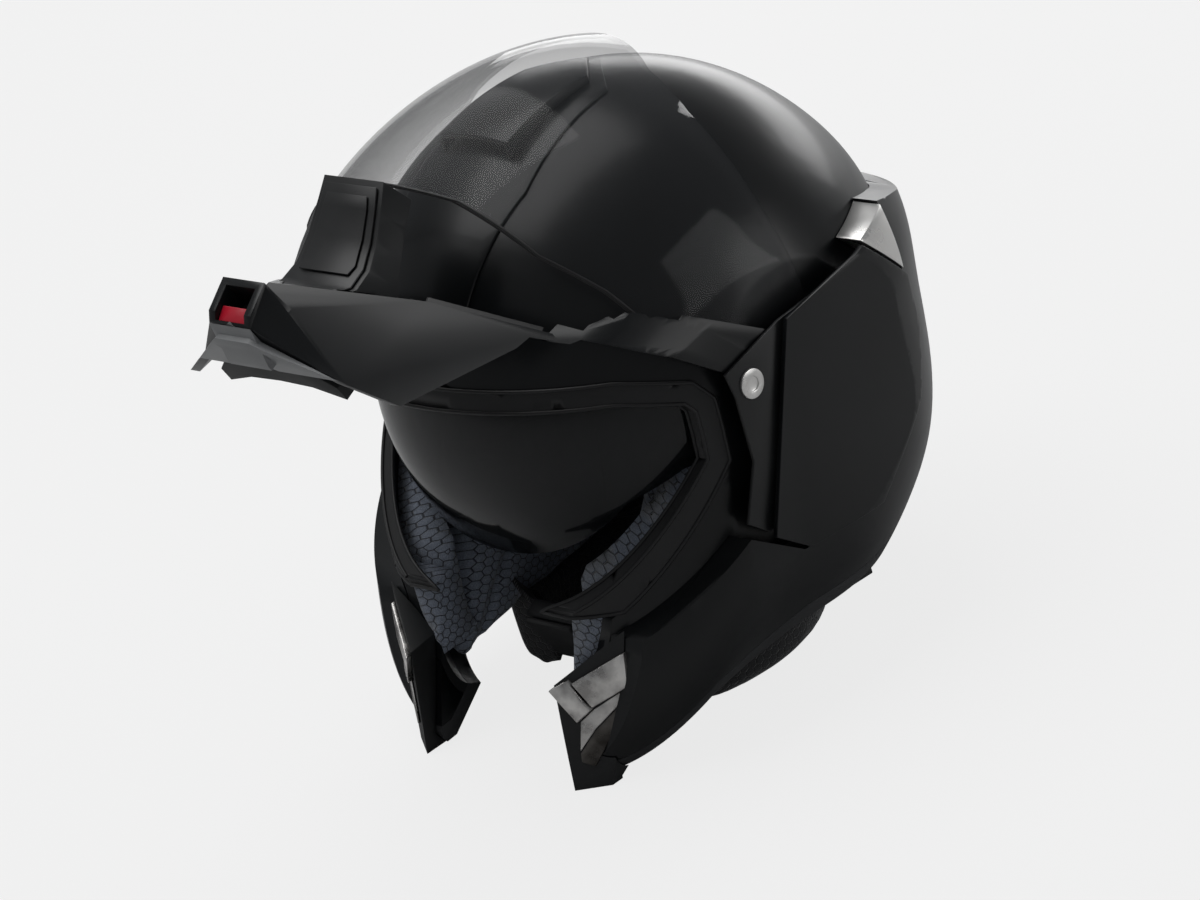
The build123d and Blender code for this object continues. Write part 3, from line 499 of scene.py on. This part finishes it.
# The chin bar: painted wings and nose on two arms, a pale grey lip beneath, a black core
# and vent tongue behind, and the red button that lets go the latch hooks.
pale_grey = grained(
    "pale_grey", (0.2, 0.205, 0.21), (0.28, 0.285, 0.29), (0.3, 0.42), 1200, 0.00004,
)
red_tab = grained(
    "red_tab", (0.42, 0.005, 0.02), (0.6, 0.012, 0.035), (0.3, 0.4), 1200, 0.00003,
)
for node, material, slot, bevel in (
    ("chin_shell", black_lacquer, "gloss_black", 0.0006),
    ("lower_lip", pale_grey, "light_grey", 0.0004),
    ("chin_core", dull_black, "matte_black", 0.0006),
    ("seal_lip", port_rubber, "rubber_black", 0.0002),
    ("chin_arm_left", black_lacquer, "gloss_black", 0.0004),
    ("chin_arm_right", black_lacquer, "gloss_black", 0.0004),
    ("chin_vent_frame", satin_black, "satin_black", 0.0008),
    ("chin_vent_cover", satin_black, "satin_black", 0.0006),
):
    dress(smooth_copy(node, bevel), material, "chin_bar", slot, node)
dress(smooth_copy("chin_vent_slider", 0.0004), satin_black, "chin_vent", "satin_black", "chin_vent_slider")
dress(smooth_copy("release_button", 0.0005), red_tab, "release", "red_plastic", "release_button")
dress(smooth_copy("latch_hooks", 0.0002), turned_steel, "hooks", "steel", "latch_hooks")


# The cheek ends that the chin bar closes on: black caps, each with a bright cast latch plate,
# whose upright ledge and lower arm frame it, and a shield below in the same cast silver, darkened as
# painted shade.
cap_corner = (0.0135, -0.13656, 0.00256)
cap_slope, cap_lean, cap_stretch = 0.6569, 0.1944, 1.2121


def cast_slab(outline, near, far, mirror):
    """A slab on the cap's slanting face: (x, z) corners between two depths behind the wing."""
    bpy.ops.mesh.primitive_circle_add(
        vertices=len(outline), radius=0.01, fill_type="NGON", calc_uvs=False)
    slab = bpy.context.object
    for point, (x, z) in zip(slab.data.vertices, outline):
        y = cap_corner[1] + cap_slope * (x - cap_corner[0]) + cap_lean * (z - cap_corner[2])
        point.co = (x * mirror, y + near * cap_stretch, z)
    pick(slab)
    bpy.ops.object.mode_set(mode="EDIT")
    bpy.ops.mesh.select_all(action="SELECT")
    bpy.ops.mesh.extrude_region_move(
        TRANSFORM_OT_translate={"value": (0, (far - near) * cap_stretch, 0)})
    bpy.ops.mesh.select_all(action="SELECT")
    bpy.ops.mesh.normals_make_consistent(inside=False)
    bpy.ops.object.mode_set(mode="OBJECT")
    return slab


def cast_piece(name, slabs, mirror, bevel):
    """A casting of one or more slabs, with its edges rounded as a mould leaves them."""
    parts = [cast_slab(*slab, mirror) for slab in slabs]
    piece = parts[0]
    pick(piece)
    for part in parts:
        part.select_set(True)
    if len(parts) > 1:
        bpy.ops.object.join()
    piece.name = piece.data.name = name
    finish_with(piece, "BEVEL", width=bevel, segments=3, limit_method="ANGLE",
                angle_limit=radians(30))
    pick(piece)
    bpy.ops.object.shade_smooth_by_angle(angle=radians(35))
    return piece


def cast_metal(name, dark, light):
    """Rough-cast bright metal with cloudy dark patches."""
    return grained(name, dark, light, (0.2, 0.4), 420, 0.0002, cloud_scale=90, Metallic=1.0)


cast_silver = cast_metal("cast_silver", (0.36, 0.35, 0.34), (0.95, 0.93, 0.9))
# The shield's metal: the same cast silver as the plate, darkened as painted shade.
shaded_cast_silver = cast_metal("shaded_cast_silver", (0.05, 0.046, 0.042), (0.16, 0.15, 0.14))
plate_slab = ((0.0546, 0.0482), (0.0755, 0.0578), (0.0752, 0.0428), (0.061, 0.0362))
ledge_slab = ((0.0462, 0.0469), (0.0528, 0.0498), (0.0604, 0.0353), (0.055, 0.0309))
arm_slab = (
    (0.0551, 0.0304), (0.0613, 0.0353), (0.0745, 0.0422),
    (0.074, 0.0385), (0.0603, 0.0262), (0.0532, 0.0172),
)
shield_slab = (
    (0.0532, 0.0165), (0.0603, 0.0258), (0.0732, 0.0372),
    (0.071, 0.0305), (0.058, 0.0098), (0.0532, 0.0125),
)
plate_near, ledge_near, arm_near, casting_far = 0.0047, 0.0041, 0.0058, 0.0067
for side, mirror in (("left", 1), ("right", -1)):
    cap = "cheek_end_" + side
    dress(smooth_copy(cap, 0.0006), dull_black, "shell", "matte_black", cap)
    latch = cast_piece("latch_casting_" + side, (
        (plate_slab, plate_near, casting_far), (ledge_slab, ledge_near, casting_far),
        (arm_slab, arm_near, casting_far),
    ), mirror, 0.0005)
    dress(latch, cast_silver, "shell", "silver", "latch_plate_" + side)
    # The shield casting wears the plate's silver darkened as painted shade.
    shield = cast_piece(
        "shield_casting_" + side, ((shield_slab, arm_near, casting_far),), mirror, 0.0004)
    dress(shield, shaded_cast_silver, "shell", "silver", "latch_shield_" + side)


# The chin strap: black ribbed webbing riveted to the shell on both sides, held under the
# chin by a plastic buckle with a lever.
def ribbed_webbing(name):
    """Black webbing: close ribs both ways."""
    material = bpy.data.materials.new(name)
    material.use_nodes = True
    nodes, links = material.node_tree.nodes, material.node_tree.links
    shader = nodes["Principled BSDF"]
    place = nodes.new("ShaderNodeTexCoord")
    ribs = nodes.new("ShaderNodeTexWave")
    ribs.bands_direction = "X"
    ribs.inputs["Scale"].default_value = 190
    links.new(place.outputs["Object"], ribs.inputs["Vector"])
    cross = nodes.new("ShaderNodeTexWave")
    cross.bands_direction = "DIAGONAL"
    cross.inputs["Scale"].default_value = 150
    links.new(place.outputs["Object"], cross.inputs["Vector"])
    weave = nodes.new("ShaderNodeMath")
    weave.operation = "MULTIPLY"
    links.new(ribs.outputs["Fac"], weave.inputs[0])
    links.new(cross.outputs["Fac"], weave.inputs[1])
    tint = nodes.new("ShaderNodeValToRGB")
    tint.color_ramp.elements[0].color = (0.005, 0.005, 0.0055, 1)
    tint.color_ramp.elements[1].color = (0.035, 0.035, 0.037, 1)
    links.new(weave.outputs["Value"], tint.inputs["Fac"])
    links.new(tint.outputs["Color"], shader.inputs["Base Color"])
    bump = nodes.new("ShaderNodeBump")
    bump.inputs["Distance"].default_value = 0.0005
    links.new(weave.outputs["Value"], bump.inputs["Height"])
    links.new(bump.outputs["Normal"], shader.inputs["Normal"])
    shader.inputs["Roughness"].default_value = 0.75
    shader.inputs["Sheen Weight"].default_value = 0.2
    return material


black_webbing = ribbed_webbing("black_webbing")
for side in ("left", "right"):
    strap = "chin_strap_" + side
    dress(smooth_copy(strap, 0.0005), black_webbing, "shell", "webbing", strap)
dress(smooth_copy("buckle_body", 0.0012), dull_black, "shell", "matte_black", "buckle_body")
dress(smooth_copy("buckle_lever", 0.0008), dull_black, "lever", "matte_black", "buckle_lever")


# The studio: a pale floor under the helmet, three broad soft lamps and a white surround.
def lamp(name, offset, size, power):
    """A square soft lamp placed right, up and back from the helmet's middle, facing it."""
    data = bpy.data.lights.new(name, "AREA")
    data.shape = "RECTANGLE"
    data.size, data.size_y = size
    data.energy = power
    place = middle + offset[0] * right + offset[1] * up + offset[2] * back
    light = bpy.data.objects.new(name, data)
    light.location = place
    light.rotation_euler = (middle - place).to_track_quat("-Z", "Y").to_euler()
    scene.collection.objects.link(light)


lamp("key_lamp", (-0.9, 1.7, 0.3), (2.2, 1.6), 27)
lamp("side_lamp", (1.9, 0.3, 0.5), (0.8, 1.8), 9)
lamp("back_lamp", (0.6, 1.2, -1.5), (2.2, 0.6), 14)

bpy.ops.mesh.primitive_plane_add(size=8, location=(0, 0, 0))
floor = bpy.context.object
floor.name = "studio_floor"
pale_floor = bpy.data.materials.new("pale_floor")
pale_floor.use_nodes = True
floor_nodes, floor_links = pale_floor.node_tree.nodes, pale_floor.node_tree.links
floor_nodes["Principled BSDF"].inputs["Base Color"].default_value = (0.5, 0.5, 0.5, 1)
floor_nodes["Principled BSDF"].inputs["Roughness"].default_value = 0.9
glow = floor_nodes.new("ShaderNodeEmission")
glow.inputs["Color"].default_value = (1, 1, 1, 1)
rays = floor_nodes.new("ShaderNodeLightPath")
seen = floor_nodes.new("ShaderNodeMath")
seen.operation = "MAXIMUM"
floor_links.new(rays.outputs["Is Camera Ray"], seen.inputs[0])
floor_links.new(rays.outputs["Is Transmission Ray"], seen.inputs[1])
part_glow = floor_nodes.new("ShaderNodeMath")
part_glow.operation = "MULTIPLY"
floor_whiteness = 0.8
part_glow.inputs[1].default_value = floor_whiteness
floor_links.new(seen.outputs["Value"], part_glow.inputs[0])
blend_floor = floor_nodes.new("ShaderNodeMixShader")
floor_links.new(part_glow.outputs["Value"], blend_floor.inputs["Fac"])
floor_links.new(floor_nodes["Principled BSDF"].outputs["BSDF"], blend_floor.inputs[1])
floor_links.new(glow.outputs["Emission"], blend_floor.inputs[2])
floor_links.new(blend_floor.outputs["Shader"], floor_nodes["Material Output"].inputs["Surface"])
floor.data.materials.append(pale_floor)

world = bpy.data.worlds.new("studio")
scene.world = world
world.use_nodes = True
sky_nodes, sky_links = world.node_tree.nodes, world.node_tree.links
soft_sky = sky_nodes["Background"]
soft_sky.inputs["Color"].default_value = (0.9, 0.92, 0.95, 1)
soft_sky.inputs["Strength"].default_value = 0.2
white_sky = sky_nodes.new("ShaderNodeBackground")
white_sky.inputs["Color"].default_value = (1, 1, 1, 1)
sky_rays = sky_nodes.new("ShaderNodeLightPath")
sky_seen = sky_nodes.new("ShaderNodeMath")
sky_seen.operation = "MAXIMUM"
sky_links.new(sky_rays.outputs["Is Camera Ray"], sky_seen.inputs[0])
sky_links.new(sky_rays.outputs["Is Transmission Ray"], sky_seen.inputs[1])
sky_mix = sky_nodes.new("ShaderNodeMixShader")
sky_links.new(sky_seen.outputs["Value"], sky_mix.inputs["Fac"])
sky_links.new(soft_sky.outputs["Background"], sky_mix.inputs[1])
sky_links.new(white_sky.outputs["Background"], sky_mix.inputs[2])
sky_links.new(sky_mix.outputs["Shader"], sky_nodes["World Output"].inputs["Surface"])
